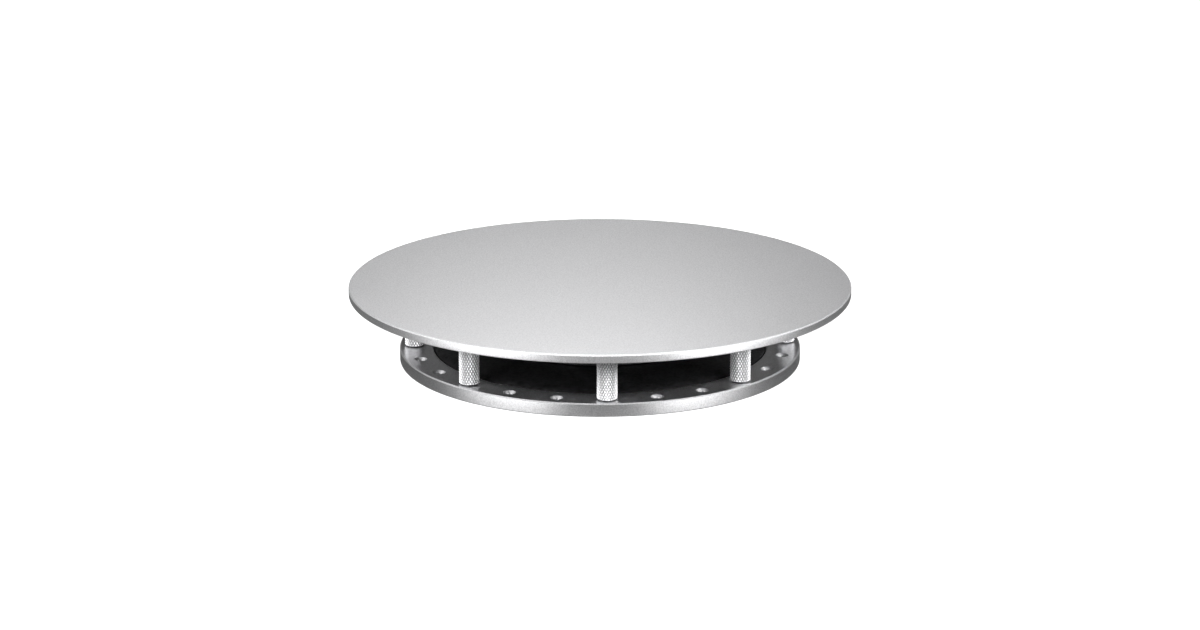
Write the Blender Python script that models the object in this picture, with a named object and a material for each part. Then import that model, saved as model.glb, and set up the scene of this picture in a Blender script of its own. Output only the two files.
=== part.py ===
"""Round stand-off fitting: a turning cover disc over a drilled ring with hand-screwed knurled posts.

Metres, +Z away from the surface that the ring stands on or is screwed to. The origin is the centre of the
back, and the front is -Y. Everything that turns does so about Z, and the cover lifts off along Z.
"""

import math

import bmesh
import bpy

MM = 0.001

# Driving dimensions
COVER_RADIUS = 75.0 * MM
COVER_THICKNESS = 2.5 * MM
POST_SPAN = 16.5 * MM            # clear height between ring and cover disc
EDGE_CHAMFER = 0.35 * MM
SEAT_GAP = 0.1 * MM              # between faces that rest on each other
FIT_GAP = 0.3 * MM               # between a thread and its hole, or a piece and its pocket

RING_RADIUS = 60.0 * MM
RING_BORE_RADIUS = 50.0 * MM
RING_THICKNESS = 4.0 * MM
LIP_RADIUS = 44.0 * MM           # inner edge of the lip that the plate sits on
LIP_THICKNESS = 1.8 * MM
HOLE_COUNT = 24                  # tapped holes in the ring; every third one takes a post
THREAD_HOLE_RADIUS = 1.5 * MM    # M3
THREAD_RADIUS = THREAD_HOLE_RADIUS - FIT_GAP
COUNTERSINK_RADIUS = 1.9 * MM

POST_COUNT = 8
POST_RADIUS = 3.0 * MM
POST_CIRCLE_RADIUS = 55.5 * MM
STUD_LENGTH = 9.0 * MM

PLATE_RADIUS = 49.7 * MM
PLATE_TOP = 5.2 * MM
PLATE_BEVEL = 2.0 * MM           # across; it is half as high
SLOT_CIRCLE_RADIUS = 40.0 * MM   # the two wall screws' slots, on the X axis
SLOT_WIDTH = 4.6 * MM
SLOT_LENGTH = 10.0 * MM
SLOT_SINK_DEPTH = 1.4 * MM
LIP_SCREW_COUNT = 4
LIP_SCREW_CIRCLE_RADIUS = 47.0 * MM
LIP_SCREW_HOLE_RADIUS = 1.25 * MM
LIP_SCREW_HEAD_RADIUS = 2.1 * MM
LIP_SCREW_TOP = 4.0 * MM

PIN_RADIUS = 4.0 * MM
PIN_TOP = 16.6 * MM
PIN_FOOT_RADIUS = 5.5 * MM
PIN_FOOT_HEIGHT = 1.2 * MM
PIN_GROOVE_DEPTH = 0.7 * MM
PIVOT_SCREW_RADIUS = 1.7 * MM
PIVOT_SCREW_HEAD_RADIUS = 3.6 * MM
PIVOT_SCREW_HEAD_HEIGHT = 1.5 * MM
PIVOT_SCREW_TOP = 11.0 * MM
CLIP_RADIUS = 5.4 * MM
CLIP_THICKNESS = 0.6 * MM
CLIP_MOUTH = 4.4 * MM

RUNNING_GAP = 0.06 * MM          # bush on pin, and hub on bush
BUSH_RADIUS = 6.5 * MM
BUSH_FLANGE_RADIUS = 9.5 * MM
BUSH_FLANGE_THICKNESS = 0.9 * MM
BUSH_TOP = 15.0 * MM

HUB_RADIUS = 28.5 * MM
HUB_BOTTOM = 5.4 * MM
HUB_FLOOR = 5.5 * MM             # thickness of the hub's floor
HUB_WALL = 2.5 * MM
HUB_BOSS_RADIUS = 9.0 * MM
HUB_BOSS_TOP = 15.5 * MM
PILLAR_RADIUS = 4.8 * MM
PILLAR_COUNT = 3
INNER_CIRCLE_RADIUS = 20.0 * MM  # pillars and magnets share it
HUB_SCREW_SEAT_DEPTH = 5.0 * MM  # from the hub's top down to the screw heads
HUB_SCREW_HEAD_RADIUS = 2.75 * MM
HUB_SCREW_HEAD_HEIGHT = 3.0 * MM
HUB_SCREW_SOCKET_RADIUS = 1.25 * MM
HUB_SCREW_SOCKET_DEPTH = 1.6 * MM
BLIND_DEPTH = 1.7 * MM           # tapped holes in the back of the cover disc
MAGNET_COUNT = 6
MAGNET_RADIUS = 5.0 * MM
MAGNET_HEIGHT = 3.0 * MM

# Sides of the round pieces
FINE, MEDIUM, COARSE, SMALL = 96, 48, 24, 12

# Levels worked out from the above
COVER_BOTTOM = RING_THICKNESS + POST_SPAN
COVER_TOP = COVER_BOTTOM + COVER_THICKNESS
HUB_TOP = COVER_BOTTOM - SEAT_GAP
PLATE_BOTTOM = LIP_THICKNESS + SEAT_GAP
CUT_OVERRUN = 1.0 * MM           # how far a cutter runs past the face that it opens

FINISHES = {
    # name: (base colour, metallic, roughness)
    "satin_aluminium": ((0.72, 0.72, 0.73), 1.0, 0.38),
    "bright_aluminium": ((0.86, 0.86, 0.87), 1.0, 0.25),
    "black_steel": ((0.02, 0.02, 0.022), 0.6, 0.5),
    "plain_steel": ((0.55, 0.55, 0.56), 1.0, 0.3),
    "magnet_nickel": ((0.7, 0.69, 0.66), 1.0, 0.2),
    "white_nylon": ((0.85, 0.84, 0.8), 0.0, 0.45),
}


def clear_scene():
    for obj in list(bpy.data.objects):
        bpy.data.objects.remove(obj)


def make_materials():
    made = {}
    for name, (colour, metallic, roughness) in FINISHES.items():
        material = bpy.data.materials.new(name)
        material.use_nodes = True
        shader = material.node_tree.nodes["Principled BSDF"]
        shader.inputs["Base Color"].default_value = (*colour, 1.0)
        shader.inputs["Metallic"].default_value = metallic
        shader.inputs["Roughness"].default_value = roughness
        made[name] = material
    return made


def make_empty(name):
    """The axis that a group of pieces turns about or slides along."""
    empty = bpy.data.objects.new(name, None)
    bpy.context.scene.collection.objects.link(empty)
    return empty


def spin_profile(bm, profile, sides, centre=(0.0, 0.0)):
    """Turns a closed (radius, height) outline about a vertical line through centre, into bm."""
    x, y = centre
    verts = [bm.verts.new((x + r, y, z)) for r, z in profile]
    edges = [bm.edges.new(pair) for pair in zip(verts, verts[1:])]
    if profile[0][0] > 0.0:
        edges.append(bm.edges.new((verts[-1], verts[0])))
    bmesh.ops.spin(
        bm,
        geom=verts + edges,
        cent=(x, y, 0.0),
        axis=(0.0, 0.0, 1.0),
        angle=math.tau,
        steps=sides,
        use_merge=True,
    )
    bmesh.ops.remove_doubles(bm, verts=bm.verts[:], dist=1e-7)


def finish_mesh(name, bm):
    bmesh.ops.recalc_face_normals(bm, faces=bm.faces[:])
    mesh = bpy.data.meshes.new(name)
    bm.to_mesh(mesh)
    bm.free()
    mesh.shade_smooth()
    mesh.set_sharp_from_angle(angle=math.radians(30.0))
    return mesh


def turned_mesh(name, profile, sides):
    bm = bmesh.new()
    spin_profile(bm, profile, sides)
    return finish_mesh(name, bm)


def place(name, mesh, material, axis, location=(0.0, 0.0, 0.0)):
    if material is not None and not mesh.materials:
        mesh.materials.append(material)
    obj = bpy.data.objects.new(name, mesh)
    obj.location = location
    obj.parent = axis
    bpy.context.scene.collection.objects.link(obj)
    return obj


def make_cutter(name, bm):
    cutter = place(name, finish_mesh(name, bm), None, None)
    cutter.hide_render = True
    cutter.display_type = "WIRE"
    return cutter


def apply_boolean(obj, other, operation):
    modifier = obj.modifiers.new(other.name, "BOOLEAN")
    modifier.operation = operation
    modifier.object = other
    modifier.solver = "EXACT"


def on_circle(radius, count, index, offset=0.0):
    """Point number index of count, counted from the front (-Y) towards +X."""
    angle = math.tau * index / count + offset
    return radius * math.sin(angle), -radius * math.cos(angle)


def drill(bm, centres, radius, low, high, sides=SMALL):
    """Adds a plain round cutter at each centre."""
    for centre in centres:
        spin_profile(bm, [(0.0, low), (radius, low), (radius, high), (0.0, high)], sides, centre)


def post_centres():
    return [on_circle(POST_CIRCLE_RADIUS, POST_COUNT, i) for i in range(POST_COUNT)]


def pillar_centres():
    return [on_circle(INNER_CIRCLE_RADIUS, PILLAR_COUNT, i) for i in range(PILLAR_COUNT)]


def magnet_centres():
    half_step = math.pi / MAGNET_COUNT
    return [on_circle(INNER_CIRCLE_RADIUS, MAGNET_COUNT, i, half_step) for i in range(MAGNET_COUNT)]


def lip_screw_centres():
    half_step = math.pi / LIP_SCREW_COUNT
    return [
        on_circle(LIP_SCREW_CIRCLE_RADIUS, LIP_SCREW_COUNT, i, half_step) for i in range(LIP_SCREW_COUNT)
    ]


def slot_outline(width, length):
    """A slot with round ends, long along Y, centred on the origin."""
    radius, straight = width / 2.0, (length - width) / 2.0
    arc_steps = 8
    points = []
    for end in (1.0, -1.0):
        for i in range(arc_steps + 1):
            angle = math.pi * i / arc_steps + (0.0 if end > 0 else math.pi)
            points.append((radius * math.cos(angle), radius * math.sin(angle) + end * straight))
    return points


def add_slot(bm, centre_x, levels):
    """Adds a slot cutter through (height, width, length) levels, joined in order."""
    rings = []
    for height, width, length in levels:
        outline = slot_outline(width, length)
        rings.append([bm.verts.new((centre_x + x, y, height)) for x, y in outline])
    bm.faces.new(rings[0])
    bm.faces.new(rings[-1])
    for lower, upper in zip(rings, rings[1:]):
        for i in range(len(lower)):
            j = (i + 1) % len(lower)
            bm.faces.new((lower[i], lower[j], upper[j], upper[i]))


def make_plate(materials, axis):
    """The steel plate that two wall screws hold. It sits on the ring's lip."""
    plate = place(
        "mounting_plate",
        turned_mesh(
            "mounting_plate",
            [
                (0.0, PLATE_BOTTOM),
                (PLATE_RADIUS, PLATE_BOTTOM),
                (PLATE_RADIUS, PLATE_TOP - PLATE_BEVEL / 2.0),
                (PLATE_RADIUS - PLATE_BEVEL, PLATE_TOP),
                (0.0, PLATE_TOP),
            ],
            FINE,
        ),
        materials["black_steel"],
        axis,
    )
    bm = bmesh.new()
    low, high = PLATE_BOTTOM - CUT_OVERRUN, PLATE_TOP + CUT_OVERRUN
    wide, long = SLOT_WIDTH + 2.0 * SLOT_SINK_DEPTH, SLOT_LENGTH + 2.0 * SLOT_SINK_DEPTH
    for side in (-1.0, 1.0):
        add_slot(
            bm,
            side * SLOT_CIRCLE_RADIUS,
            [
                (low, SLOT_WIDTH, SLOT_LENGTH),
                (PLATE_TOP - SLOT_SINK_DEPTH, SLOT_WIDTH, SLOT_LENGTH),
                (PLATE_TOP, wide, long),
                (high, wide, long),
            ],
        )
    drill(bm, [(0.0, 0.0)], PIVOT_SCREW_RADIUS + FIT_GAP, low, high, COARSE)
    drill(bm, lip_screw_centres(), LIP_SCREW_HOLE_RADIUS, low, LIP_SCREW_TOP + FIT_GAP)
    apply_boolean(plate, make_cutter("plate_cutter", bm), "DIFFERENCE")


def make_ring(materials, axis):
    """The ring: evenly spaced countersunk tapped holes, and a lip inside that carries the plate."""
    c = EDGE_CHAMFER
    ring = place(
        "base_ring",
        turned_mesh(
            "base_ring",
            [
                (LIP_RADIUS, 0.0),
                (RING_RADIUS - c, 0.0),
                (RING_RADIUS, c),
                (RING_RADIUS, RING_THICKNESS - c),
                (RING_RADIUS - c, RING_THICKNESS),
                (RING_BORE_RADIUS + c, RING_THICKNESS),
                (RING_BORE_RADIUS, RING_THICKNESS - c),
                (RING_BORE_RADIUS, LIP_THICKNESS),
                (LIP_RADIUS, LIP_THICKNESS),
            ],
            FINE,
        ),
        materials["satin_aluminium"],
        axis,
    )
    bm = bmesh.new()
    low, high = -CUT_OVERRUN, RING_THICKNESS + CUT_OVERRUN
    sink_start = RING_THICKNESS - (COUNTERSINK_RADIUS - THREAD_HOLE_RADIUS)
    for i in range(HOLE_COUNT):
        spin_profile(
            bm,
            [
                (0.0, low),
                (THREAD_HOLE_RADIUS, low),
                (THREAD_HOLE_RADIUS, sink_start),
                (COUNTERSINK_RADIUS, RING_THICKNESS),
                (COUNTERSINK_RADIUS, high),
                (0.0, high),
            ],
            SMALL,
            on_circle(POST_CIRCLE_RADIUS, HOLE_COUNT, i),
        )
    head, neck = lip_screw_outline(FIT_GAP)[1:3]
    lip_high = LIP_THICKNESS + CUT_OVERRUN
    lip_hole = [(0.0, low), (head[0], low), head, neck, (neck[0], lip_high), (0.0, lip_high)]
    for centre in lip_screw_centres():
        spin_profile(bm, lip_hole, SMALL, centre)
    apply_boolean(ring, make_cutter("ring_holes_cutter", bm), "DIFFERENCE")


def lip_screw_outline(grow):
    """A countersunk screw, head down, as (radius, height) points. The hole in the lip is grown all round."""
    head_radius = LIP_SCREW_HEAD_RADIUS + grow
    shank_radius = LIP_SCREW_HOLE_RADIUS - FIT_GAP + grow
    head_low = SEAT_GAP
    return [
        (0.0, head_low),
        (head_radius, head_low),
        (shank_radius, head_low + head_radius - shank_radius),
        (shank_radius, LIP_SCREW_TOP),
        (0.0, LIP_SCREW_TOP),
    ]


def make_lip_screws(materials, axis):
    screw = turned_mesh("lip_screw", lip_screw_outline(0.0), SMALL)
    for i, (x, y) in enumerate(lip_screw_centres(), 1):
        place(f"lip_screw_{i}", screw, materials["plain_steel"], axis, (x, y, 0.0))


def make_pivot(materials, axis):
    """The pin at the plate's centre, the screw that holds it from behind, and the clip over the bush."""
    c = EDGE_CHAMFER
    foot_low = PLATE_TOP + SEAT_GAP
    foot_high = foot_low + PIN_FOOT_HEIGHT
    bore = PIVOT_SCREW_RADIUS + FIT_GAP
    groove_radius = PIN_RADIUS - PIN_GROOVE_DEPTH
    clip_low = BUSH_TOP + SEAT_GAP
    clip_high = clip_low + CLIP_THICKNESS
    place(
        "pivot_pin",
        turned_mesh(
            "pivot_pin",
            [
                (0.0, PIVOT_SCREW_TOP + FIT_GAP),
                (bore, PIVOT_SCREW_TOP + FIT_GAP),
                (bore, foot_low),
                (PIN_FOOT_RADIUS, foot_low),
                (PIN_FOOT_RADIUS, foot_high),
                (PIN_RADIUS, foot_high),
                (PIN_RADIUS, clip_low - SEAT_GAP),
                (groove_radius, clip_low - SEAT_GAP),
                (groove_radius, clip_high + SEAT_GAP),
                (PIN_RADIUS, clip_high + SEAT_GAP),
                (PIN_RADIUS, PIN_TOP - c),
                (PIN_RADIUS - c, PIN_TOP),
                (0.0, PIN_TOP),
            ],
            COARSE,
        ),
        materials["plain_steel"],
        axis,
    )
    head_high = PLATE_BOTTOM - SEAT_GAP
    head_low = head_high - PIVOT_SCREW_HEAD_HEIGHT
    place(
        "pivot_screw",
        turned_mesh(
            "pivot_screw",
            [
                (0.0, head_low),
                (PIVOT_SCREW_HEAD_RADIUS - c, head_low),
                (PIVOT_SCREW_HEAD_RADIUS, head_low + c),
                (PIVOT_SCREW_HEAD_RADIUS, head_high),
                (PIVOT_SCREW_RADIUS, head_high),
                (PIVOT_SCREW_RADIUS, PIVOT_SCREW_TOP),
                (0.0, PIVOT_SCREW_TOP),
            ],
            COARSE,
        ),
        materials["plain_steel"],
        axis,
    )
    clip_bore = groove_radius + SEAT_GAP
    clip = place(
        "bush_clip",
        turned_mesh(
            "bush_clip",
            [
                (clip_bore, clip_low),
                (CLIP_RADIUS, clip_low),
                (CLIP_RADIUS, clip_high),
                (clip_bore, clip_high),
            ],
            COARSE,
        ),
        materials["plain_steel"],
        axis,
    )
    mouth_length = CLIP_RADIUS + CUT_OVERRUN
    mouth_height = CLIP_THICKNESS + 2.0 * CUT_OVERRUN
    mouth_centre = (0.0, -mouth_length / 2.0, (clip_low + clip_high) / 2.0)
    bm = bmesh.new()
    bmesh.ops.create_cube(bm, size=1.0)
    bmesh.ops.scale(bm, vec=(CLIP_MOUTH, mouth_length, mouth_height), verts=bm.verts)
    bmesh.ops.translate(bm, vec=mouth_centre, verts=bm.verts)
    apply_boolean(clip, make_cutter("clip_mouth_cutter", bm), "DIFFERENCE")


def make_bush(materials, axis):
    """The flanged bush that turns on the pivot pin. The hub drops over it."""
    low = PLATE_TOP + SEAT_GAP
    inner = PIN_RADIUS + RUNNING_GAP
    over_foot = PIN_FOOT_RADIUS + FIT_GAP
    foot_clear = low + PIN_FOOT_HEIGHT + FIT_GAP
    place(
        "swivel_bush",
        turned_mesh(
            "swivel_bush",
            [
                (over_foot, low),
                (BUSH_FLANGE_RADIUS, low),
                (BUSH_FLANGE_RADIUS, low + BUSH_FLANGE_THICKNESS),
                (BUSH_RADIUS, low + BUSH_FLANGE_THICKNESS),
                (BUSH_RADIUS, BUSH_TOP),
                (inner, BUSH_TOP),
                (inner, foot_clear),
                (over_foot, foot_clear),
            ],
            MEDIUM,
        ),
        materials["white_nylon"],
        axis,
    )


def make_hub(materials, axis):
    """The cup under the cover disc, with its magnets and the screws that hold it there."""
    c = EDGE_CHAMFER
    floor_top = HUB_BOTTOM + HUB_FLOOR
    bore = BUSH_RADIUS + RUNNING_GAP
    recess_radius = BUSH_FLANGE_RADIUS + FIT_GAP
    recess_top = PLATE_TOP + SEAT_GAP + BUSH_FLANGE_THICKNESS + SEAT_GAP
    hub = place(
        "hub",
        turned_mesh(
            "hub",
            [
                (recess_radius, HUB_BOTTOM),
                (HUB_RADIUS - c, HUB_BOTTOM),
                (HUB_RADIUS, HUB_BOTTOM + c),
                (HUB_RADIUS, HUB_TOP),
                (HUB_RADIUS - HUB_WALL, HUB_TOP),
                (HUB_RADIUS - HUB_WALL, floor_top),
                (HUB_BOSS_RADIUS, floor_top),
                (HUB_BOSS_RADIUS, HUB_BOSS_TOP),
                (bore, HUB_BOSS_TOP),
                (bore, recess_top),
                (recess_radius, recess_top),
            ],
            MEDIUM,
        ),
        materials["satin_aluminium"],
        axis,
    )
    bm = bmesh.new()
    drill(bm, pillar_centres(), PILLAR_RADIUS, floor_top - CUT_OVERRUN, HUB_TOP)
    apply_boolean(hub, make_cutter("hub_pillars_join", bm), "UNION")
    seat = HUB_TOP - HUB_SCREW_SEAT_DEPTH
    magnet_seat = HUB_BOTTOM + MAGNET_HEIGHT + FIT_GAP
    low = HUB_BOTTOM - CUT_OVERRUN
    bm = bmesh.new()
    for centre in pillar_centres():
        spin_profile(
            bm,
            [
                (0.0, low),
                (HUB_SCREW_HEAD_RADIUS + FIT_GAP, low),
                (HUB_SCREW_HEAD_RADIUS + FIT_GAP, seat),
                (THREAD_HOLE_RADIUS, seat),
                (THREAD_HOLE_RADIUS, HUB_TOP + CUT_OVERRUN),
                (0.0, HUB_TOP + CUT_OVERRUN),
            ],
            SMALL,
            centre,
        )
    drill(bm, magnet_centres(), MAGNET_RADIUS + FIT_GAP, low, magnet_seat, COARSE)
    apply_boolean(hub, make_cutter("hub_pockets_cutter", bm), "DIFFERENCE")

    magnet = turned_mesh(
        "magnet",
        [(0.0, 0.0), (MAGNET_RADIUS, 0.0), (MAGNET_RADIUS, MAGNET_HEIGHT), (0.0, MAGNET_HEIGHT)],
        COARSE,
    )
    for i, (x, y) in enumerate(magnet_centres(), 1):
        place(f"magnet_{i}", magnet, materials["magnet_nickel"], axis, (x, y, HUB_BOTTOM + SEAT_GAP))

    head_low = seat - SEAT_GAP - HUB_SCREW_HEAD_HEIGHT
    shank_top = COVER_BOTTOM + BLIND_DEPTH - FIT_GAP - head_low
    screw = turned_mesh(
        "hub_screw",
        [
            (0.0, HUB_SCREW_SOCKET_DEPTH),
            (HUB_SCREW_SOCKET_RADIUS, HUB_SCREW_SOCKET_DEPTH),
            (HUB_SCREW_SOCKET_RADIUS, 0.0),
            (HUB_SCREW_HEAD_RADIUS, 0.0),
            (HUB_SCREW_HEAD_RADIUS, HUB_SCREW_HEAD_HEIGHT),
            (THREAD_RADIUS, HUB_SCREW_HEAD_HEIGHT),
            (THREAD_RADIUS, shank_top),
            (0.0, shank_top),
        ],
        SMALL,
    )
    for i, (x, y) in enumerate(pillar_centres(), 1):
        place(f"hub_screw_{i}", screw, materials["plain_steel"], axis, (x, y, head_low))


def make_cover(materials, axis):
    """The cover disc, with blind tapped holes in its back for the hub's screws."""
    c = EDGE_CHAMFER
    cover = place(
        "cover_disc",
        turned_mesh(
            "cover_disc",
            [
                (0.0, COVER_BOTTOM),
                (COVER_RADIUS - c, COVER_BOTTOM),
                (COVER_RADIUS, COVER_BOTTOM + c),
                (COVER_RADIUS, COVER_TOP - c),
                (COVER_RADIUS - c, COVER_TOP),
                (0.0, COVER_TOP),
            ],
            FINE,
        ),
        materials["satin_aluminium"],
        axis,
    )
    bm = bmesh.new()
    drill(
        bm, pillar_centres(), THREAD_HOLE_RADIUS, COVER_BOTTOM - CUT_OVERRUN, COVER_BOTTOM + BLIND_DEPTH
    )
    apply_boolean(cover, make_cutter("cover_blind_holes_cutter", bm), "DIFFERENCE")


def make_posts(materials):
    """Hand-screwed posts, each with its threaded stud, each on an axis of its own."""
    c = EDGE_CHAMFER
    low = RING_THICKNESS + SEAT_GAP
    high = COVER_BOTTOM - FIT_GAP
    stud_top = FIT_GAP + STUD_LENGTH
    post = turned_mesh(
        "knurled_post",
        [
            (0.0, stud_top + FIT_GAP),
            (THREAD_HOLE_RADIUS, stud_top + FIT_GAP),
            (THREAD_HOLE_RADIUS, low),
            (POST_RADIUS - c, low),
            (POST_RADIUS, low + c),
            (POST_RADIUS, high - c),
            (POST_RADIUS - c, high),
            (0.0, high),
        ],
        COARSE,
    )
    stud = turned_mesh(
        "post_stud",
        [(0.0, FIT_GAP), (THREAD_RADIUS, FIT_GAP), (THREAD_RADIUS, stud_top), (0.0, stud_top)],
        SMALL,
    )
    for i, (x, y) in enumerate(post_centres(), 1):
        axis = make_empty(f"post_axis_{i}")
        axis.location = (x, y, 0.0)
        place(f"knurled_post_{i}", post, materials["bright_aluminium"], axis)
        place(f"post_stud_{i}", stud, materials["plain_steel"], axis)


def main():
    clear_scene()
    materials = make_materials()
    base_axis = make_empty("base_axis")
    make_plate(materials, base_axis)
    make_ring(materials, base_axis)
    make_lip_screws(materials, base_axis)
    make_pivot(materials, base_axis)
    make_bush(materials, make_empty("swivel_axis"))
    cover_axis = make_empty("cover_axis")
    make_hub(materials, cover_axis)
    make_cover(materials, cover_axis)
    make_posts(materials)


main()
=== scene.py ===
"""The looks of the turning stand-off disc: finely turned pieces, knurled posts and studio light."""

import math

import bmesh
import bpy
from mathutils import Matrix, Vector


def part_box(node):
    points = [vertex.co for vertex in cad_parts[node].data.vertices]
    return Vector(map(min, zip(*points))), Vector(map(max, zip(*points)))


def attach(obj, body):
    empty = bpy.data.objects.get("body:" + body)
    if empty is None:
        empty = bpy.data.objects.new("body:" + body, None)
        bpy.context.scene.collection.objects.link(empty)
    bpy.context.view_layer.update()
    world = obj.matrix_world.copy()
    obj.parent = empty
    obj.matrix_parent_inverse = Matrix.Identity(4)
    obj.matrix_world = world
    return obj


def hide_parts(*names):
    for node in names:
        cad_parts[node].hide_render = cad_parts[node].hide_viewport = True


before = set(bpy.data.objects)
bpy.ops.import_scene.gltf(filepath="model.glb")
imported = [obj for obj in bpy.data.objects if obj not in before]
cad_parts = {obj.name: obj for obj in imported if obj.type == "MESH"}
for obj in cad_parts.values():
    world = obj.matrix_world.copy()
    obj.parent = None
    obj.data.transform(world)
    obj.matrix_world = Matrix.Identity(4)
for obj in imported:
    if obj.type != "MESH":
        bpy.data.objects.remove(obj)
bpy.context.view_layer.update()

MM = 0.001

# Sides of the round pieces, by size
DISC_SIDES = 256
HUB_SIDES = 128
PIN_SIDES = 64
HOLE_SIDES = 32
EYE_SIDES = 16
HEX_SIDES = 6

# Edges past these angles, in degrees, are shaded as sharp
SHARP_EDGE = 30.0
SHARP_KNURL_EDGE = 12.0

# Points closer than this, in metres, become one
MERGE_DISTANCE = 1e-7

# Radii, depths and counts that the frame's boxes don't give, as the CAD has them
EDGE = 0.35 * MM
CUT = 1.0 * MM
HOLE_COUNT = 24
HOLE_CIRCLE_RADIUS = 55.5 * MM
HOLE_MOUTH_RADIUS = 1.9 * MM
RING_BORE_RADIUS = 50.0 * MM
LIP_RADIUS = 44.0 * MM
LIP_THICKNESS = 1.8 * MM
LIP_SCREW_COUNT = 4
LIP_SCREW_CIRCLE_RADIUS = 47.0 * MM
LIP_SCREW_HOLE_RADIUS = 1.25 * MM
LIP_SCREW_SHANK_RADIUS = 0.95 * MM
LIP_SCREW_HEAD_SEAT = 0.1 * MM
PLATE_BEVEL = 2.0 * MM
PLATE_CENTRE_HOLE_RADIUS = 2.0 * MM
SLOT_CIRCLE_RADIUS = 40.0 * MM
SLOT_WIDTH = 4.6 * MM
SLOT_LENGTH = 10.0 * MM
SLOT_SINK = 1.4 * MM
POST_COUNT = 8
POST_RADIUS = 3.0 * MM
PIN_RADIUS = 4.0 * MM
PIN_GROOVE_RADIUS = 3.3 * MM
PIN_BORE_RADIUS = 2.0 * MM
PIN_BORE_DEPTH = 6.0 * MM
PIN_FOOT_HEIGHT = 1.2 * MM
PIVOT_SCREW_RADIUS = 1.7 * MM
PIVOT_SCREW_HEAD_HEIGHT = 1.5 * MM
BUSH_RADIUS = 6.5 * MM
BUSH_BORE_RADIUS = 4.06 * MM
BUSH_FLANGE_HEIGHT = 0.9 * MM
BUSH_RECESS_RADIUS = 5.8 * MM
BUSH_RECESS_HEIGHT = 1.5 * MM
HUB_FLOOR = 5.5 * MM
HUB_WALL = 2.5 * MM
HUB_BOSS_RADIUS = 9.0 * MM
HUB_BOSS_TOP = 15.5 * MM
HUB_RECESS_RADIUS = 9.8 * MM
HUB_RECESS_HEIGHT = 1.0 * MM
HUB_BORE_RADIUS = 6.56 * MM
HUB_SCREW_COUNT = 3
HUB_SCREW_RADIUS = 1.2 * MM
HUB_SCREW_HEAD_HEIGHT = 3.0 * MM
HEAD_POCKET_GAP = 0.3 * MM
MAGNET_COUNT = 6
MAGNET_POCKET_HEADROOM = 0.2 * MM
INNER_CIRCLE_RADIUS = 20.0 * MM

# Details that the CAD leaves out, has plainer or makes a little different. Angles are in degrees.
THREAD_PITCH = 0.5 * MM
THREAD_DEPTH = 0.2 * MM
THREAD_START = 0.1 * MM
THREAD_END = 0.2 * MM
HOLE_RADIUS = 1.3 * MM
LIP_SINK_RADIUS = 2.45 * MM
PIN_CENTRE_MARK_RADIUS = 1.2 * MM
PIN_CENTRE_MARK_DEPTH = 0.9 * MM
PIVOT_SCREW_HEAD_ROUND = 0.8 * MM
HUB_SCREW_HEAD_ROUND = 0.25 * MM
MAGNET_CORNER = 0.3 * MM
POCKET_EDGE = 0.25 * MM
SCREW_POCKET_ROOF = 0.5 * MM
CLIP_INNER_RADIUS = 3.45 * MM
CLIP_HALF_MOUTH = 28.0
CLIP_STEPS = 48
CLIP_EYE_OFFSET = 11.0
CLIP_EYE_RADIUS = 0.35 * MM
CLIP_EYE_CIRCLE_RADIUS = 4.45 * MM

# The sockets in the screws: half the width across the corners, and the depth
STUD_SOCKET = (0.75 * MM, 1.2 * MM)
LIP_SCREW_SOCKET = (1.0 * MM, 0.9 * MM)
PIVOT_SCREW_SOCKET = (1.5 * MM, 1.1 * MM)
HUB_SCREW_SOCKET = (1.45 * MM, 1.6 * MM)

# The posts' diamond knurl, and the rounding at their foot, which ends at an angle in degrees
KNURL_COUNT = 22
KNURL_PITCH = 1.48 * MM
KNURL_DEPTH = 0.26 * MM
POST_TIP = 0.45 * MM
POST_TIP_STEPS = 5
POST_TIP_END = -15.0

# Blasted aluminium: its grain, and what its bevels and turned sides add
GRAIN_SCALE = 2600.0
GRAIN_STRENGTH = 0.6
BEVEL_ROUGHNESS = 0.2
SIDE_ANISOTROPY = 0.75
COVER_MARK_SPACING = 0.9 * MM
COVER_MARK_RADIUS = 16.0 * MM

# Camera: the view that it looks from, in degrees, its distance, and the height that it looks at
CAMERA_AZIMUTH = 2.1
CAMERA_ELEVATION = 16.25
CAMERA_DISTANCE = 1.055
CAMERA_LENS = 105.63
CAMERA_HEIGHT = 12.8 * MM
CAMERA_SENSOR = 36.0
CAMERA_CLIP_START = 0.01

# Studio: the floor, the even light from all round, and the soft boxes as
# (name, place, width and height, watts). Each soft box points at the origin.
FLOOR_HALF = 6.0
FLOOR_SEEN = (0.35, 0.35, 0.35, 1.0)
FLOOR_GLOW = 0.92
FLOOR_BOUNCE = (0.14, 0.14, 0.14, 1.0)
WORLD_STRENGTH = 0.06
LIGHTS = (
    ("back_near", (0.0, 0.5, 0.5), (0.2, 0.3), 0.85),
    ("back_far", (0.0, 0.75, 0.95), (1.2, 0.6), 2.4),
    ("left_front", (-0.85, -0.8, 0.47), (0.7, 0.3), 16.0),
    ("right_front", (0.85, -0.8, 0.47), (0.7, 0.3), 17.5),
    ("left_side", (-1.1, -0.35, 0.47), (0.5, 0.3), 8.0),
    ("right_side", (1.1, -0.35, 0.47), (0.5, 0.3), 7.0),
    ("front_top", (0.0, -0.9, 1.2), (0.8, 0.4), 12.0),
)


def link(obj):
    bpy.context.scene.collection.objects.link(obj)
    return obj


def place_piece(node, mesh, material, body):
    """Puts a mesh in the scene as the piece that rides on a body and stands for the node."""
    if not mesh.materials:
        mesh.materials.append(material)
    piece = link(bpy.data.objects.new(f"{node}_fine", mesh))
    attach(piece, body)
    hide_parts(node)
    return piece


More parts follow.
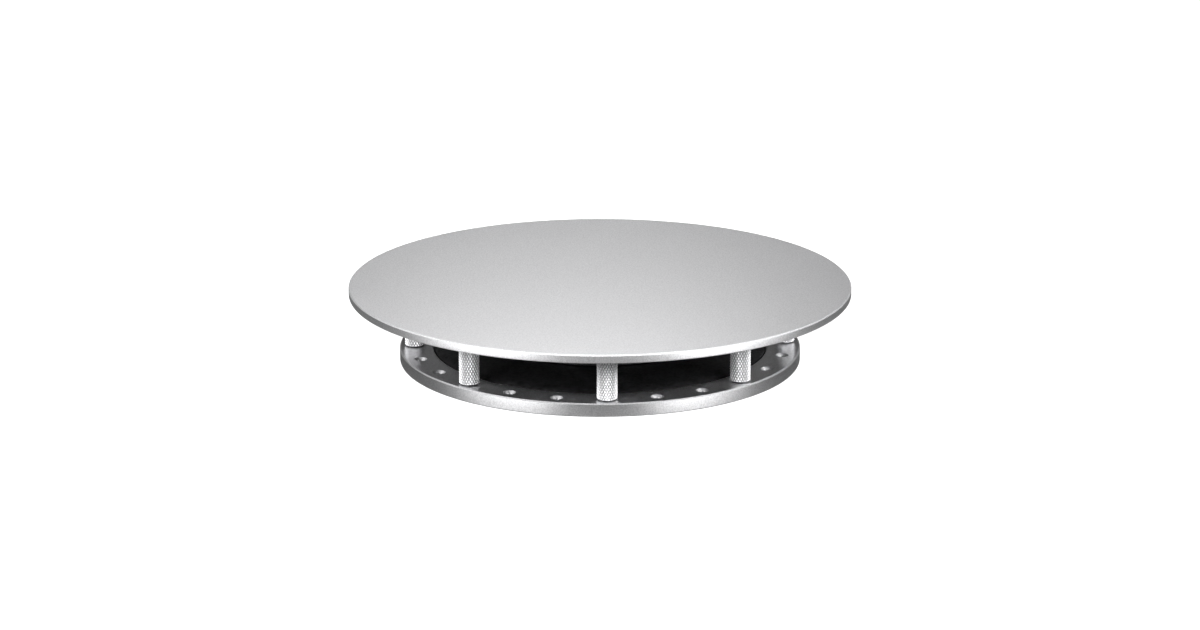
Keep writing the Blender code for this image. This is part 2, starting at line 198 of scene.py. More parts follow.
def put_copy(node, mesh, material, body):
    """Places a shared mesh, made about its own vertical axis, where the node stands."""
    low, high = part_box(node)
    centre = (low + high) / 2.0
    piece = place_piece(node, mesh, material, body)
    piece.location = (centre.x, centre.y, 0.0)


def radius_of(node):
    """The radius of a round node that stands away from the Z axis."""
    low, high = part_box(node)
    return (high.x - low.x) / 2.0


# ---- Shapes ----


def arc(centre, radius, start, end, steps=4):
    """Points of an arc in a (radius, height) outline, from one angle in degrees to another."""
    points = []
    for i in range(steps + 1):
        angle = math.radians(start + (end - start) * i / steps)
        points.append((centre[0] + radius * math.cos(angle), centre[1] + radius * math.sin(angle)))
    return points


def round_circle(radius, count, offset=0.0):
    """Points evenly spaced round a circle, from the front (-Y) towards +X."""
    angles = [math.tau * i / count + offset for i in range(count)]
    return [(radius * math.sin(angle), -radius * math.cos(angle)) for angle in angles]


def spin_profile(bm, profile, sides, centre=(0.0, 0.0)):
    """Turns a (radius, height) outline about a vertical line through centre, into bm."""
    x, y = centre
    verts = [bm.verts.new((x + r, y, z)) for r, z in profile]
    edges = [bm.edges.new(pair) for pair in zip(verts, verts[1:])]
    if profile[0][0] > 0.0:
        edges.append(bm.edges.new((verts[-1], verts[0])))
    bmesh.ops.spin(
        bm,
        geom=verts + edges,
        cent=(x, y, 0.0),
        axis=(0.0, 0.0, 1.0),
        angle=math.tau,
        steps=sides,
        use_merge=True,
    )
    bmesh.ops.remove_doubles(bm, verts=bm.verts[:], dist=MERGE_DISTANCE)


def to_mesh(name, bm, sharp=SHARP_EDGE):
    """Turns bm into a smooth-shaded mesh with sharp edges past an angle in degrees, and frees it."""
    bmesh.ops.recalc_face_normals(bm, faces=bm.faces[:])
    mesh = bpy.data.meshes.new(name)
    bm.to_mesh(mesh)
    bm.free()
    mesh.shade_smooth()
    mesh.set_sharp_from_angle(angle=math.radians(sharp))
    return mesh


def turned(name, profile, sides):
    """A (radius, height) outline turned about the Z axis."""
    bm = bmesh.new()
    spin_profile(bm, profile, sides)
    return to_mesh(name, bm)


def drill(bm, centres, profile, sides=HOLE_SIDES):
    """Adds the same turned cutter to bm at each centre."""
    for centre in centres:
        spin_profile(bm, profile, sides, centre)


def add_slot(bm, centre_x, levels, arc_steps=12):
    """A slot cutter with round ends, long along Y, through (height, width, length) levels."""
    rings = []
    for height, width, length in levels:
        radius, straight = width / 2.0, (length - width) / 2.0
        ring = []
        for end, turn in ((1.0, 0.0), (-1.0, math.pi)):
            for i in range(arc_steps + 1):
                angle = turn + math.pi * i / arc_steps
                x = centre_x + radius * math.cos(angle)
                ring.append(bm.verts.new((x, end * straight + radius * math.sin(angle), height)))
        rings.append(ring)
    bm.faces.new(rings[0])
    bm.faces.new(rings[-1])
    for lower, upper in zip(rings, rings[1:]):
        for i in range(len(lower)):
            j = (i + 1) % len(lower)
            bm.faces.new((lower[i], lower[j], upper[j], upper[i]))


def cut(mesh, bm):
    """The mesh with the shapes in bm cut out of it."""
    body = link(bpy.data.objects.new(mesh.name, mesh))
    cutter = link(bpy.data.objects.new("cutter", to_mesh("cutter", bm)))
    modifier = body.modifiers.new("cut", "BOOLEAN")
    modifier.operation = "DIFFERENCE"
    modifier.object = cutter
    modifier.solver = "EXACT"
    graph = bpy.context.evaluated_depsgraph_get()
    result = bpy.data.meshes.new_from_object(body.evaluated_get(graph))
    result.shade_smooth()
    result.set_sharp_from_angle(angle=math.radians(SHARP_EDGE))
    bpy.data.objects.remove(body)
    bpy.data.objects.remove(cutter)
    return result


def thread_profile(radius, low, high):
    """A thread's ridges between two heights, as (radius, height) points, upwards."""
    points = []
    count = int((high - low) / THREAD_PITCH)
    for i in range(count):
        z = low + i * THREAD_PITCH
        points.append((radius, z))
        points.append((radius + THREAD_DEPTH, z + THREAD_PITCH / 2.0))
    points.append((radius, low + count * THREAD_PITCH))
    return points


def thicken(bm, face, height):
    """Raises a flat face of bm into a solid of that height."""
    top = bmesh.ops.extrude_face_region(bm, geom=[face])["geom"]
    verts = [g for g in top if isinstance(g, bmesh.types.BMVert)]
    bmesh.ops.translate(bm, vec=(0.0, 0.0, height), verts=verts)


def cut_socket(mesh, socket, low):
    """The mesh with a hexagonal socket up into its lower end, which is at the height low."""
    radius, depth = socket
    corners = [math.tau * i / HEX_SIDES for i in range(HEX_SIDES)]
    bm = bmesh.new()
    verts = [bm.verts.new((radius * math.cos(a), radius * math.sin(a), low - CUT)) for a in corners]
    thicken(bm, bm.faces.new(verts), CUT + depth)
    return cut(mesh, bm)


def cap_screw(name, box, radius, head_height, rounding, steps, socket):
    """A screw that stands head down: a rounded head, a threaded shank and a hexagonal socket."""
    low, high = box
    head = (high.x - low.x) / 2.0
    head_top = low.z + head_height
    core = radius - THREAD_DEPTH
    profile = [(0.0, low.z)]
    profile += arc((head - rounding, low.z + rounding), rounding, -90.0, 0.0, steps)
    profile += [(head, head_top), (core, head_top)]
    profile += thread_profile(core, head_top + THREAD_START, high.z - THREAD_END)
    profile += [(core, high.z), (0.0, high.z)]
    return cut_socket(turned(name, profile, PIN_SIDES), socket, low.z)


# ---- Materials ----


class Finish:
    """A Principled material and short calls that add nodes to it."""

    def __init__(self, name, colour, metallic, roughness):
        self.material = bpy.data.materials.new(name)
        self.material.use_nodes = True
        self.tree = self.material.node_tree
        self.shader = self.tree.nodes["Principled BSDF"]
        self.shader.inputs["Base Color"].default_value = (*colour, 1.0)
        self.shader.inputs["Metallic"].default_value = metallic
        self.shader.inputs["Roughness"].default_value = roughness
        self.place = self.tree.nodes.new("ShaderNodeTexCoord").outputs["Object"]

    def noise(self, scale, detail=2.0):
        node = self.tree.nodes.new("ShaderNodeTexNoise")
        node.inputs["Scale"].default_value = scale
        node.inputs["Detail"].default_value = detail
        self.tree.links.new(self.place, node.inputs["Vector"])
        return node.outputs["Fac"]

    def turning_marks(self, spacing):
        """Fine rings about the Z axis, as a lathe leaves them."""
        wave = self.tree.nodes.new("ShaderNodeTexWave")
        wave.wave_type = "RINGS"
        wave.rings_direction = "Z"
        wave.inputs["Scale"].default_value = 0.5 / spacing / math.pi
        wave.inputs["Distortion"].default_value = 0.6
        wave.inputs["Detail Scale"].default_value = 300.0
        self.tree.links.new(self.place, wave.inputs["Vector"])
        return wave.outputs["Fac"]

    def spread(self, value, low, high, start=0.3, end=0.7):
        """Maps a value that goes from start to end onto low to high."""
        node = self.tree.nodes.new("ShaderNodeMapRange")
        node.inputs["From Min"].default_value = start
        node.inputs["From Max"].default_value = end
        node.inputs["To Min"].default_value = low
        node.inputs["To Max"].default_value = high
        self.tree.links.new(value, node.inputs["Value"])
        return node.outputs["Result"]

    def from_axis(self, near, far, at_near=0.0, at_far=1.0):
        """Goes from one value to another between two distances from the Z axis."""
        flat = self.tree.nodes.new("ShaderNodeVectorMath")
        flat.operation = "MULTIPLY"
        flat.inputs[1].default_value = (1.0, 1.0, 0.0)
        length = self.tree.nodes.new("ShaderNodeVectorMath")
        length.operation = "LENGTH"
        self.tree.links.new(self.place, flat.inputs[0])
        self.tree.links.new(flat.outputs["Vector"], length.inputs[0])
        return self.spread(length.outputs["Value"], at_near, at_far, near, far)

    def steepness(self):
        """How far the face is tipped up or down: 0 upright, 1 flat."""
        normal = self.tree.nodes.new("ShaderNodeNewGeometry").outputs["Normal"]
        parts = self.tree.nodes.new("ShaderNodeSeparateXYZ")
        size = self.tree.nodes.new("ShaderNodeMath")
        size.operation = "ABSOLUTE"
        self.tree.links.new(normal, parts.inputs["Vector"])
        self.tree.links.new(parts.outputs["Z"], size.inputs[0])
        return size.outputs["Value"]

    def upright(self, amount):
        """The amount on faces that stand upright, falling to 0 on flat ones."""
        return self.spread(self.steepness(), amount, 0.0, 0.2, 0.7)

    def sloping(self, amount):
        """The amount on bevels, and 0 on upright and on flat faces."""
        rising = self.spread(self.steepness(), 0.0, amount, 0.3, 0.5)
        falling = self.spread(self.steepness(), 1.0, 0.0, 0.85, 0.95)
        return self.combine(rising, falling)

    def turned_sides(self, amount):
        """Draws the highlights out across fine turning marks, on upright faces."""
        tangent = self.tree.nodes.new("ShaderNodeTangent")
        tangent.direction_type = "RADIAL"
        tangent.axis = "Z"
        self.tree.links.new(tangent.outputs["Tangent"], self.shader.inputs["Tangent"])
        self.tree.links.new(self.upright(amount), self.shader.inputs["Anisotropic"])
        self.shader.inputs["Anisotropic Rotation"].default_value = 0.25

    def aluminium_grain(self):
        """A fine grain that also tints the metal. Returns the grain."""
        grain = self.noise(GRAIN_SCALE)
        self.colours(grain, (0.66, 0.66, 0.67), (0.83, 0.83, 0.84), 0.35, 0.65)
        return grain

    def blasted(self, grain, flat_roughness, rougher_sides, grain_depth):
        """The grain as bump, turned sides that are a little rougher, and bevels rougher still."""
        roughness = self.combine(flat_roughness, self.upright(rougher_sides), "ADD")
        self.rough(self.combine(roughness, self.sloping(BEVEL_ROUGHNESS), "ADD"))
        self.turned_sides(SIDE_ANISOTROPY)
        self.bump(grain, grain_depth, GRAIN_STRENGTH)

    def combine(self, first, second, operation="MULTIPLY"):
        """Two values put together by one Math operation."""
        node = self.tree.nodes.new("ShaderNodeMath")
        node.operation = operation
        self.tree.links.new(first, node.inputs[0])
        self.tree.links.new(second, node.inputs[1])
        return node.outputs["Value"]

    def colours(self, value, dark, light, start=0.3, end=0.7):
        """Colours the surface from dark to light as the value goes from start to end."""
        ramp = self.tree.nodes.new("ShaderNodeValToRGB")
        ramp.color_ramp.elements[0].position = start
        ramp.color_ramp.elements[0].color = (*dark, 1.0)
        ramp.color_ramp.elements[1].position = end
        ramp.color_ramp.elements[1].color = (*light, 1.0)
        self.tree.links.new(value, ramp.inputs["Fac"])
        self.tree.links.new(ramp.outputs["Color"], self.shader.inputs["Base Color"])

    def rough(self, value):
        self.tree.links.new(value, self.shader.inputs["Roughness"])

    def bump(self, value, depth, strength):
        """Adds a bump on top of those that are there already."""
        node = self.tree.nodes.new("ShaderNodeBump")
        node.inputs["Distance"].default_value = depth
        node.inputs["Strength"].default_value = strength
        self.tree.links.new(value, node.inputs["Height"])
        last = self.shader.inputs["Normal"].links
        if last:
            self.tree.links.new(last[0].from_socket, node.inputs["Normal"])
        self.tree.links.new(node.outputs["Normal"], self.shader.inputs["Normal"])


def blasted_aluminium():
    """Bead-blasted, clear anodised: an even, fine sparkle, finely turned sides and bright bevels."""
    finish = Finish("satin_aluminium", (0.74, 0.74, 0.75), 1.0, 0.42)
    grain = finish.aluminium_grain()
    finish.blasted(grain, finish.spread(grain, 0.28, 0.31), 0.09, 0.005 * MM)
    return finish.material


def hub_aluminium_painted_shade():
    """Aluminium with painted shade: much darker in colour and duller than the rest, which keeps the gap
    under the cover dark.
    """
    finish = Finish("satin_aluminium_hub", (0.4, 0.4, 0.41), 1.0, 0.5)
    # Painted shade: a dark colour, 0.24 to 0.34, stands in for the shade under the cover.
    finish.colours(finish.noise(1200.0), (0.24, 0.24, 0.25), (0.34, 0.34, 0.35))
    finish.rough(finish.spread(finish.noise(700.0), 0.3, 0.42))
    return finish.material


def cover_aluminium():
    """Blasted like the ring, with the last turning marks still faint at the centre."""
    finish = Finish("satin_aluminium_cover", (0.74, 0.74, 0.75), 1.0, 0.42)
    grain = finish.aluminium_grain()
    marks = finish.combine(
        finish.turning_marks(COVER_MARK_SPACING), finish.from_axis(0.0, COVER_MARK_RADIUS, 1.0, 0.0)
    )
    finish.bump(marks, 0.004 * MM, 0.5)
    finish.blasted(grain, finish.spread(finish.noise(900.0), 0.34, 0.38), 0.06, 0.02 * MM)
    return finish.material


def knurled_aluminium_groove_shade():
    """Knurled, with painted shade down in the grooves and the ridges painted light."""
    finish = Finish("bright_aluminium", (0.6, 0.6, 0.61), 0.5, 0.45)
    # Painted shade: the colour darkens from the ridges down into the grooves, by distance from the axis.
    depth = finish.from_axis(POST_RADIUS - KNURL_DEPTH, POST_RADIUS)
    finish.colours(depth, (0.36, 0.36, 0.37), (0.96, 0.96, 0.97), 0.1, 0.75)
    finish.rough(finish.spread(finish.noise(1500.0), 0.45, 0.58))
    finish.bump(finish.noise(2200.0), 0.02 * MM, 0.5)
    return finish.material


def blackened_steel():
    finish = Finish("black_steel", (0.015, 0.015, 0.016), 0.4, 0.5)
    finish.shader.inputs["Specular IOR Level"].default_value = 0.15
    mottle = finish.noise(500.0, 4.0)
    finish.colours(mottle, (0.004, 0.004, 0.004), (0.014, 0.014, 0.015))
    finish.rough(finish.spread(finish.noise(1200.0), 0.4, 0.6))
    finish.bump(mottle, 0.02 * MM, 0.5)
    return finish.material


def zinc_steel():
    finish = Finish("plain_steel", (0.6, 0.6, 0.61), 1.0, 0.3)
    finish.colours(finish.noise(800.0), (0.52, 0.53, 0.55), (0.68, 0.68, 0.68))
    finish.rough(finish.spread(finish.noise(400.0), 0.22, 0.4))
    finish.bump(finish.noise(900.0), 0.01 * MM, 0.4)
    return finish.material


def nickel():
    finish = Finish("magnet_nickel", (0.75, 0.73, 0.69), 1.0, 0.16)
    finish.rough(finish.spread(finish.noise(300.0), 0.12, 0.24))
    finish.bump(finish.noise(500.0), 0.006 * MM, 0.4)
    return finish.material


def natural_nylon():
    finish = Finish("white_nylon", (0.84, 0.82, 0.76), 0.0, 0.42)
    finish.colours(finish.noise(250.0), (0.8, 0.78, 0.72), (0.88, 0.86, 0.8))
    finish.bump(finish.noise(1400.0), 0.01 * MM, 0.4)
    finish.shader.inputs["Subsurface Weight"].default_value = 0.15
    finish.shader.inputs["Subsurface Scale"].default_value = 2.0 * MM
    return finish.material


# ---- Pieces ----


def make_cover(materials):
    """The disc, without the CAD's blind holes in its back: the hub hides them."""
    low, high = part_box("cover_disc")
    radius, bottom, top = high.x, low.z, high.z
    profile = [(0.0, bottom)]
    profile += arc((radius - EDGE, bottom + EDGE), EDGE, -90.0, 0.0)
    profile += [(radius, top - EDGE), (radius - EDGE, top), (0.0, top)]
    mesh = turned("cover_disc_fine", profile, DISC_SIDES)
    place_piece("cover_disc", mesh, materials["cover"], "cover")


def make_ring(materials):
    """The ring, with threaded holes and a lip inside its foot."""
    low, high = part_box("base_ring")
    radius, top = high.x, high.z
    profile = [(LIP_RADIUS, low.z)]
    profile += arc((radius - EDGE, low.z + EDGE), EDGE, -90.0, 0.0)
    profile += [(radius, top - EDGE), (radius - EDGE, top)]
    profile += arc((RING_BORE_RADIUS + EDGE, top - EDGE), EDGE, 90.0, 180.0)
    profile += [(RING_BORE_RADIUS, LIP_THICKNESS), (LIP_RADIUS, LIP_THICKNESS)]
    mesh = turned("base_ring_fine", profile, DISC_SIDES)
    sink = HOLE_MOUTH_RADIUS - HOLE_RADIUS
    hole = [(0.0, -CUT), (HOLE_RADIUS, -CUT)]
    hole += thread_profile(HOLE_RADIUS, low.z, top - sink)
    hole += [(HOLE_RADIUS, top - sink), (HOLE_MOUTH_RADIUS, top), (HOLE_MOUTH_RADIUS, top + CUT)]
    hole += [(0.0, top + CUT)]
    bm = bmesh.new()
    drill(bm, round_circle(HOLE_CIRCLE_RADIUS, HOLE_COUNT), hole)
    sink_top = LIP_SCREW_HEAD_SEAT + LIP_SINK_RADIUS - LIP_SCREW_HOLE_RADIUS
    lip_high = LIP_THICKNESS + CUT / 2.0
    lip_hole = [
        (0.0, -CUT),
        (LIP_SINK_RADIUS, -CUT),
        (LIP_SINK_RADIUS, LIP_SCREW_HEAD_SEAT),
        (LIP_SCREW_HOLE_RADIUS, sink_top),
        (LIP_SCREW_HOLE_RADIUS, lip_high),
        (0.0, lip_high),
    ]
    half_step = math.pi / LIP_SCREW_COUNT
    drill(bm, round_circle(LIP_SCREW_CIRCLE_RADIUS, LIP_SCREW_COUNT, half_step), lip_hole)
    mesh = cut(mesh, bm)
    place_piece("base_ring", mesh, materials["satin"], "base")


def make_plate(materials):
    """The plate and its slots. The lip screws' holes, which don't reach its top, are left out."""
    low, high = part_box("mounting_plate")
    radius, bottom, top = high.x, low.z, high.z
    ease = 0.15 * MM
    profile = [
        (0.0, bottom),
        (radius - ease, bottom),
        (radius, bottom + ease),
        (radius, top - PLATE_BEVEL / 2.0 - ease),
        (radius - ease, top - PLATE_BEVEL / 2.0),
        (radius - PLATE_BEVEL, top),
        (0.0, top),
    ]
    mesh = turned("mounting_plate_fine", profile, DISC_SIDES)
    wide, long = SLOT_WIDTH + 2.0 * SLOT_SINK, SLOT_LENGTH + 2.0 * SLOT_SINK
    bm = bmesh.new()
    for side in (-1.0, 1.0):
        add_slot(
            bm,
            side * SLOT_CIRCLE_RADIUS,
            [
                (bottom - CUT, SLOT_WIDTH, SLOT_LENGTH),
                (top - SLOT_SINK, SLOT_WIDTH, SLOT_LENGTH),
                (top, wide, long),
                (top + CUT, wide, long),
            ],
        )
    hole = PLATE_CENTRE_HOLE_RADIUS
    centre_hole = [(0.0, bottom - CUT), (hole, bottom - CUT), (hole, top + CUT), (0.0, top + CUT)]
    drill(bm, [(0.0, 0.0)], centre_hole)
    mesh = cut(mesh, bm)
    place_piece("mounting_plate", mesh, materials["black"], "base")


def knurled_mesh(radius, low, high):
    """A solid post whose side is cut into diamonds by two sets of crossing grooves."""
    side_low, side_high = low + POST_TIP, high - EDGE
    columns = 2 * KNURL_COUNT
    rows = 2 * round((side_high - side_low) / KNURL_PITCH)
    bm = bmesh.new()
    rings = []

    def add_ring(z, radii):
        ring = []
        for k in range(columns):
            angle = math.tau * k / columns
            r = radii[k % 2]
            ring.append(bm.verts.new((r * math.cos(angle), r * math.sin(angle), z)))
        rings.append(ring)

    deep = radius - KNURL_DEPTH
    tip_radius = POST_TIP - KNURL_DEPTH / 2.0
    for r, z in arc((radius - POST_TIP, side_low), tip_radius, -90.0, POST_TIP_END, POST_TIP_STEPS):
        add_ring(z, (r, r))
    for m in range(rows + 1):
        z = side_low + (side_high - side_low) * m / rows
        add_ring(z, (deep, radius) if m % 2 else (radius, deep))
    add_ring(high, (radius - EDGE, radius - EDGE))
    first_side_ring = POST_TIP_STEPS + 1
    for index, (lower, upper) in enumerate(zip(rings, rings[1:])):
        for k in range(columns):
            j = (k + 1) % columns
            # The diagonal runs along a groove, between the two low corners of the cell.
            if (k + index - first_side_ring) % 2:
                bm.faces.new((lower[k], lower[j], upper[j]))
                bm.faces.new((lower[k], upper[j], upper[k]))
            else:
                bm.faces.new((lower[k], lower[j], upper[k]))
                bm.faces.new((lower[j], upper[j], upper[k]))
    bm.faces.new(rings[0])
    bm.faces.new(rings[-1])
    return to_mesh("knurled_post", bm, SHARP_KNURL_EDGE)


def stud_mesh():
    """A stud with a hexagonal socket in its lower end."""
    low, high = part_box("post_stud_1")
    core = radius_of("post_stud_1") - THREAD_DEPTH
    end = core - 0.1 * MM
    profile = [(0.0, low.z), (end, low.z)]
    profile += thread_profile(core, low.z + THREAD_END, high.z - THREAD_END)
    profile += [(end, high.z), (0.0, high.z)]
    return cut_socket(turned("post_stud", profile, HOLE_SIDES), STUD_SOCKET, low.z)


def make_posts(materials):
    """Posts and studs. Each stud runs up inside its solid post, out of sight."""
    low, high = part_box("knurled_post_1")
    post = knurled_mesh(radius_of("knurled_post_1"), low.z, high.z)
    stud = stud_mesh()
    for i in range(1, POST_COUNT + 1):
        put_copy(f"knurled_post_{i}", post, materials["knurled"], f"post_{i}")
        put_copy(f"post_stud_{i}", stud, materials["steel"], f"post_{i}")


def make_lip_screws(materials):
    """Countersunk screws, head down, with hexagonal sockets."""
    low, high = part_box("lip_screw_1")
    head = radius_of("lip_screw_1")
    ease = 0.12 * MM
    core = LIP_SCREW_SHANK_RADIUS - THREAD_DEPTH / 2.0
    neck = low.z + head - LIP_SCREW_SHANK_RADIUS
    profile = [(0.0, low.z), (head - ease, low.z), (head, low.z + ease), (core, neck + ease)]
    profile += thread_profile(core, neck + 2.0 * ease, high.z - ease)
    profile += [(core - ease, high.z), (0.0, high.z)]
    mesh = cut_socket(turned("lip_screw", profile, HOLE_SIDES), LIP_SCREW_SOCKET, low.z)
    for i in range(1, LIP_SCREW_COUNT + 1):
        put_copy(f"lip_screw_{i}", mesh, materials["steel"], "base")


def make_pivot(materials):
    """The pin, grooved for the clip, and the screw that holds it from behind."""
    low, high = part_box("pivot_pin")
    clip_low, clip_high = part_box("bush_clip")
    foot = high.x
    foot_top = low.z + PIN_FOOT_HEIGHT
    bore_top = low.z + PIN_BORE_DEPTH
    ease = 0.2 * MM
    gap = 0.1 * MM
    groove_low, groove_high = clip_low.z - gap, clip_high.z + gap
    profile = [(PIN_BORE_RADIUS, low.z), (foot - ease, low.z), (foot, low.z + ease)]
    profile += [(foot, foot_top - ease), (foot - ease, foot_top), (PIN_RADIUS, foot_top)]
    profile += [(PIN_RADIUS, groove_low), (PIN_GROOVE_RADIUS, groove_low)]
    profile += [(PIN_GROOVE_RADIUS, groove_high), (PIN_RADIUS, groove_high)]
    profile += arc((PIN_RADIUS - EDGE, high.z - EDGE), EDGE, 0.0, 90.0)
    profile += [(PIN_CENTRE_MARK_RADIUS, high.z), (0.0, high.z - PIN_CENTRE_MARK_DEPTH)]
    profile += [(0.0, bore_top), (PIN_BORE_RADIUS, bore_top)]
    mesh = turned("pivot_pin_fine", profile, PIN_SIDES)
    place_piece("pivot_pin", mesh, materials["steel"], "base")

    mesh = cap_screw(
        "pivot_screw_fine",
        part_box("pivot_screw"),
        PIVOT_SCREW_RADIUS,
        PIVOT_SCREW_HEAD_HEIGHT,
        PIVOT_SCREW_HEAD_ROUND,
        6,
        PIVOT_SCREW_SOCKET,
    )
    place_piece("pivot_screw", mesh, materials["steel"], "base")


def make_clip(materials):
    """The retaining clip: a flat ring open at the front, with an eye at each end."""
    low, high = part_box("bush_clip")
    inner, outer = CLIP_INNER_RADIUS, high.x
    front = -math.pi / 2.0
    half_mouth = math.radians(CLIP_HALF_MOUTH)
    outline = []
    for radius, way in ((outer, 1.0), (inner, -1.0)):
        for i in range(CLIP_STEPS + 1):
            angle = front + way * (half_mouth + (math.tau - 2.0 * half_mouth) * i / CLIP_STEPS)
            outline.append((radius * math.cos(angle), radius * math.sin(angle)))
    bm = bmesh.new()
    thicken(bm, bm.faces.new([bm.verts.new((x, y, low.z)) for x, y in outline]), high.z - low.z)
    mesh = to_mesh("bush_clip_fine", bm)
    eyes = bmesh.new()
    under, over, eye = low.z - CUT, high.z + CUT, CLIP_EYE_RADIUS
    for side in (-1.0, 1.0):
        angle = front + side * (half_mouth + math.radians(CLIP_EYE_OFFSET))
        centre = (CLIP_EYE_CIRCLE_RADIUS * math.cos(angle), CLIP_EYE_CIRCLE_RADIUS * math.sin(angle))
        spin_profile(eyes, [(0.0, under), (eye, under), (eye, over), (0.0, over)], EYE_SIDES, centre)
    mesh = cut(mesh, eyes)
    place_piece("bush_clip", mesh, materials["steel"], "base")


def make_bush(materials):
    """The flanged bush, hollowed at its foot to clear the pin's."""
    low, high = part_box("swivel_bush")
    flange, body, inner = high.x, BUSH_RADIUS, BUSH_BORE_RADIUS
    flange_top = low.z + BUSH_FLANGE_HEIGHT
    recess_top = low.z + BUSH_RECESS_HEIGHT
    ease = 0.2 * MM
    profile = [(BUSH_RECESS_RADIUS, low.z), (flange - ease, low.z)]
    profile += arc((flange - ease, flange_top - ease), ease, 0.0, 90.0, 3)
    profile += [(body, flange_top)]
    profile += arc((body - ease, high.z - ease), ease, 0.0, 90.0, 3)
    profile += [(inner + ease, high.z), (inner, high.z - ease)]
    profile += [(inner, recess_top), (BUSH_RECESS_RADIUS, recess_top)]
    mesh = turned("swivel_bush_fine", profile, HUB_SIDES)
    place_piece("swivel_bush", mesh, materials["nylon"], "swivel")


def pocket_profile(radius, low, high):
    """A blind pocket's cutter, with the mouth's edge broken."""
    mouth = radius + POCKET_EDGE
    return [
        (0.0, low - CUT),
        (mouth, low - CUT),
        (mouth, low),
        (radius, low + POCKET_EDGE),
        (radius, high),
        (0.0, high),
    ]


def make_hub(materials):
    """The cup. The CAD's pillars round the three screws are left out, because the cup and the cover hide
    them, and the pockets under the screws end inside the cup's floor."""
    low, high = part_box("hub")
    radius, bottom, top = high.x, low.z, high.z
    floor_top = bottom + HUB_FLOOR
    recess_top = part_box("swivel_bush")[0].z + HUB_RECESS_HEIGHT
    profile = [(HUB_RECESS_RADIUS, bottom)]
    profile += arc((radius - EDGE, bottom + EDGE), EDGE, -90.0, 0.0)
    profile += [(radius, top), (radius - HUB_WALL, top), (radius - HUB_WALL, floor_top)]
    profile += [(HUB_BOSS_RADIUS, floor_top), (HUB_BOSS_RADIUS, HUB_BOSS_TOP)]
    profile += [(HUB_BORE_RADIUS, HUB_BOSS_TOP), (HUB_BORE_RADIUS, recess_top)]
    profile += [(HUB_RECESS_RADIUS, recess_top)]
    mesh = turned("hub_fine", profile, HUB_SIDES)
    bm = bmesh.new()
    magnet_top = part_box("magnet_1")[1].z + MAGNET_POCKET_HEADROOM
    pocket = pocket_profile(radius_of("magnet_1") + HEAD_POCKET_GAP, bottom, magnet_top)
    half_step = math.pi / MAGNET_COUNT
    drill(bm, round_circle(INNER_CIRCLE_RADIUS, MAGNET_COUNT, half_step), pocket, PIN_SIDES)
    screw_top = floor_top - SCREW_POCKET_ROOF
    pocket = pocket_profile(radius_of("hub_screw_1") + HEAD_POCKET_GAP, bottom, screw_top)
    drill(bm, round_circle(INNER_CIRCLE_RADIUS, HUB_SCREW_COUNT), pocket, PIN_SIDES)
    mesh = cut(mesh, bm)
    place_piece("hub", mesh, materials["hub"], "cover")


def make_magnets(materials):
    low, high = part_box("magnet_1")
    radius, corner = radius_of("magnet_1"), MAGNET_CORNER
    profile = [(0.0, low.z)]
    profile += arc((radius - corner, low.z + corner), corner, -90.0, 0.0)
    profile += arc((radius - corner, high.z - corner), corner, 0.0, 90.0)
    profile += [(0.0, high.z)]
    mesh = turned("magnet", profile, PIN_SIDES)
    for i in range(1, MAGNET_COUNT + 1):
        put_copy(f"magnet_{i}", mesh, materials["nickel"], "cover")


def make_hub_screws(materials):
    mesh = cap_screw(
        "hub_screw",
        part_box("hub_screw_1"),
        HUB_SCREW_RADIUS,
        HUB_SCREW_HEAD_HEIGHT,
        HUB_SCREW_HEAD_ROUND,
        4,
        HUB_SCREW_SOCKET,
    )
    for i in range(1, HUB_SCREW_COUNT + 1):
        put_copy(f"hub_screw_{i}", mesh, materials["steel"], "cover")


# ---- Studio ----


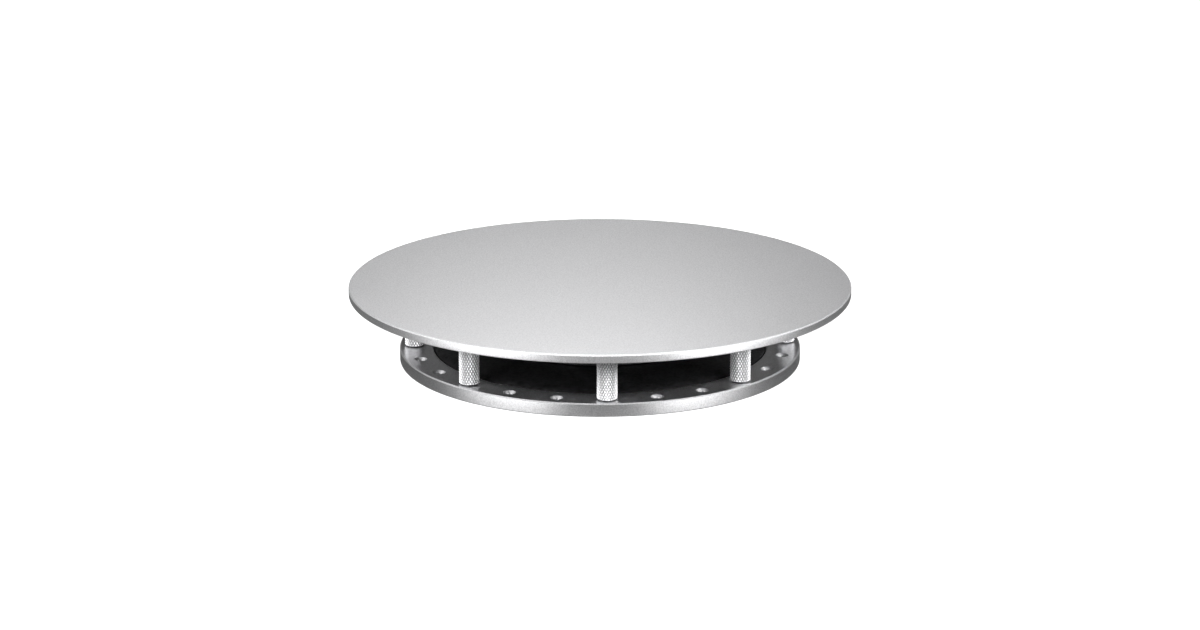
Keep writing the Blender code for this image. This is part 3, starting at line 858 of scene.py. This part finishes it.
def make_floor():
    """A pale floor. It lights the object less than it shows, so the gap under the cover stays dark."""
    mesh = bpy.data.meshes.new("floor")
    corners = [(-1.0, -1.0), (1.0, -1.0), (1.0, 1.0), (-1.0, 1.0)]
    mesh.from_pydata([(FLOOR_HALF * x, FLOOR_HALF * y, 0.0) for x, y in corners], [], [(0, 1, 2, 3)])
    floor = link(bpy.data.objects.new("floor", mesh))
    material = bpy.data.materials.new("pale_floor")
    material.use_nodes = True
    tree = material.node_tree
    tree.nodes.clear()
    output = tree.nodes.new("ShaderNodeOutputMaterial")
    seen = tree.nodes.new("ShaderNodeBsdfDiffuse")
    seen.inputs["Color"].default_value = FLOOR_SEEN
    glow = tree.nodes.new("ShaderNodeEmission")
    glow.inputs["Strength"].default_value = FLOOR_GLOW
    both = tree.nodes.new("ShaderNodeAddShader")
    dull = tree.nodes.new("ShaderNodeBsdfDiffuse")
    dull.inputs["Color"].default_value = FLOOR_BOUNCE
    mix = tree.nodes.new("ShaderNodeMixShader")
    path = tree.nodes.new("ShaderNodeLightPath")
    tree.links.new(seen.outputs["BSDF"], both.inputs[0])
    tree.links.new(glow.outputs["Emission"], both.inputs[1])
    tree.links.new(path.outputs["Is Camera Ray"], mix.inputs["Fac"])
    tree.links.new(dull.outputs["BSDF"], mix.inputs[1])
    tree.links.new(both.outputs["Shader"], mix.inputs[2])
    tree.links.new(mix.outputs["Shader"], output.inputs["Surface"])
    mesh.materials.append(material)


def add_light(name, location, size, power):
    light = bpy.data.lights.new(name, "AREA")
    light.shape = "RECTANGLE"
    light.size = size[0]
    light.size_y = size[1]
    light.energy = power
    lamp = link(bpy.data.objects.new(name, light))
    lamp.location = location
    lamp.rotation_euler = (-Vector(location)).to_track_quat("-Z", "Y").to_euler()


def make_lights():
    for name, location, size, power in LIGHTS:
        add_light(name, location, size, power)
    world = bpy.data.worlds.new("studio")
    world.use_nodes = True
    background = world.node_tree.nodes["Background"]
    background.inputs["Color"].default_value = (1.0, 1.0, 1.0, 1.0)
    background.inputs["Strength"].default_value = WORLD_STRENGTH
    bpy.context.scene.world = world
    bpy.context.scene.view_settings.view_transform = "Standard"


def make_camera():
    azimuth, elevation = math.radians(CAMERA_AZIMUTH), math.radians(CAMERA_ELEVATION)
    target = Vector((0.0, 0.0, CAMERA_HEIGHT))
    away = Vector(
        (
            -math.sin(azimuth) * math.cos(elevation),
            -math.cos(azimuth) * math.cos(elevation),
            math.sin(elevation),
        )
    )
    camera = link(bpy.data.objects.new("camera", bpy.data.cameras.new("camera")))
    camera.data.lens = CAMERA_LENS
    camera.data.sensor_width = CAMERA_SENSOR
    camera.data.clip_start = CAMERA_CLIP_START
    camera.location = target + CAMERA_DISTANCE * away
    camera.rotation_euler = (-away).to_track_quat("-Z", "Y").to_euler()
    bpy.context.scene.camera = camera


def main():
    materials = {
        "cover": cover_aluminium(),
        "satin": blasted_aluminium(),
        "hub": hub_aluminium_painted_shade(),
        "knurled": knurled_aluminium_groove_shade(),
        "black": blackened_steel(),
        "steel": zinc_steel(),
        "nickel": nickel(),
        "nylon": natural_nylon(),
    }
    make_camera()
    make_floor()
    make_lights()
    make_cover(materials)
    make_ring(materials)
    make_plate(materials)
    make_posts(materials)
    make_lip_screws(materials)
    make_pivot(materials)
    make_clip(materials)
    make_bush(materials)
    make_hub(materials)
    make_magnets(materials)
    make_hub_screws(materials)


main()
